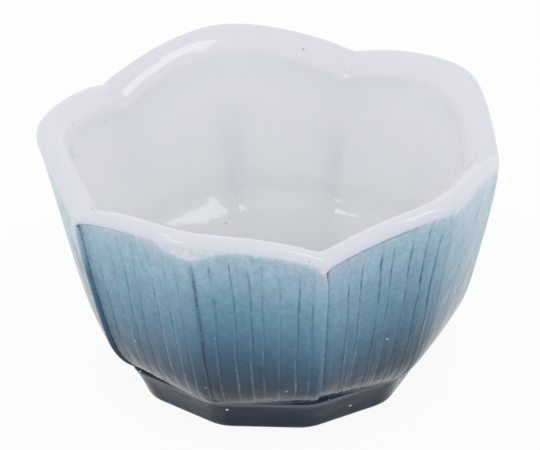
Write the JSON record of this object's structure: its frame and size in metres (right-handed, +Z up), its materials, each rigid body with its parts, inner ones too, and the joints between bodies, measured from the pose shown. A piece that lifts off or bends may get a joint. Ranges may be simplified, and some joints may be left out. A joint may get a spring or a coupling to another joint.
{
  "type": "appetizer bowl",
  "caption": "Small five-petalled glazed bowl with a scalloped rolled lip, lapped fluted petals and a tapered ten-sided foot ring.",
  "frame": {"origin": "on the bowl's axis, at the table that the foot ring stands on", "axes": "+Z up along the bowl's axis, out of its mouth; the picture looks along +Y and down, with +X to its right"},
  "size_m": [0.0921, 0.0909, 0.0531],
  "materials": {
    "white_glaze": "polished",
    "blue_glaze": "polished",
    "dark_glaze": "gloss"
  },
  "bodies": {
    "root": {"bowl_body": "white_glaze", "petal_1": "blue_glaze", "petal_2": "blue_glaze", "petal_3": "blue_glaze", "petal_4": "blue_glaze", "petal_5": "blue_glaze", "foot_ring": "dark_glaze"}
  },
  "joints": []
}
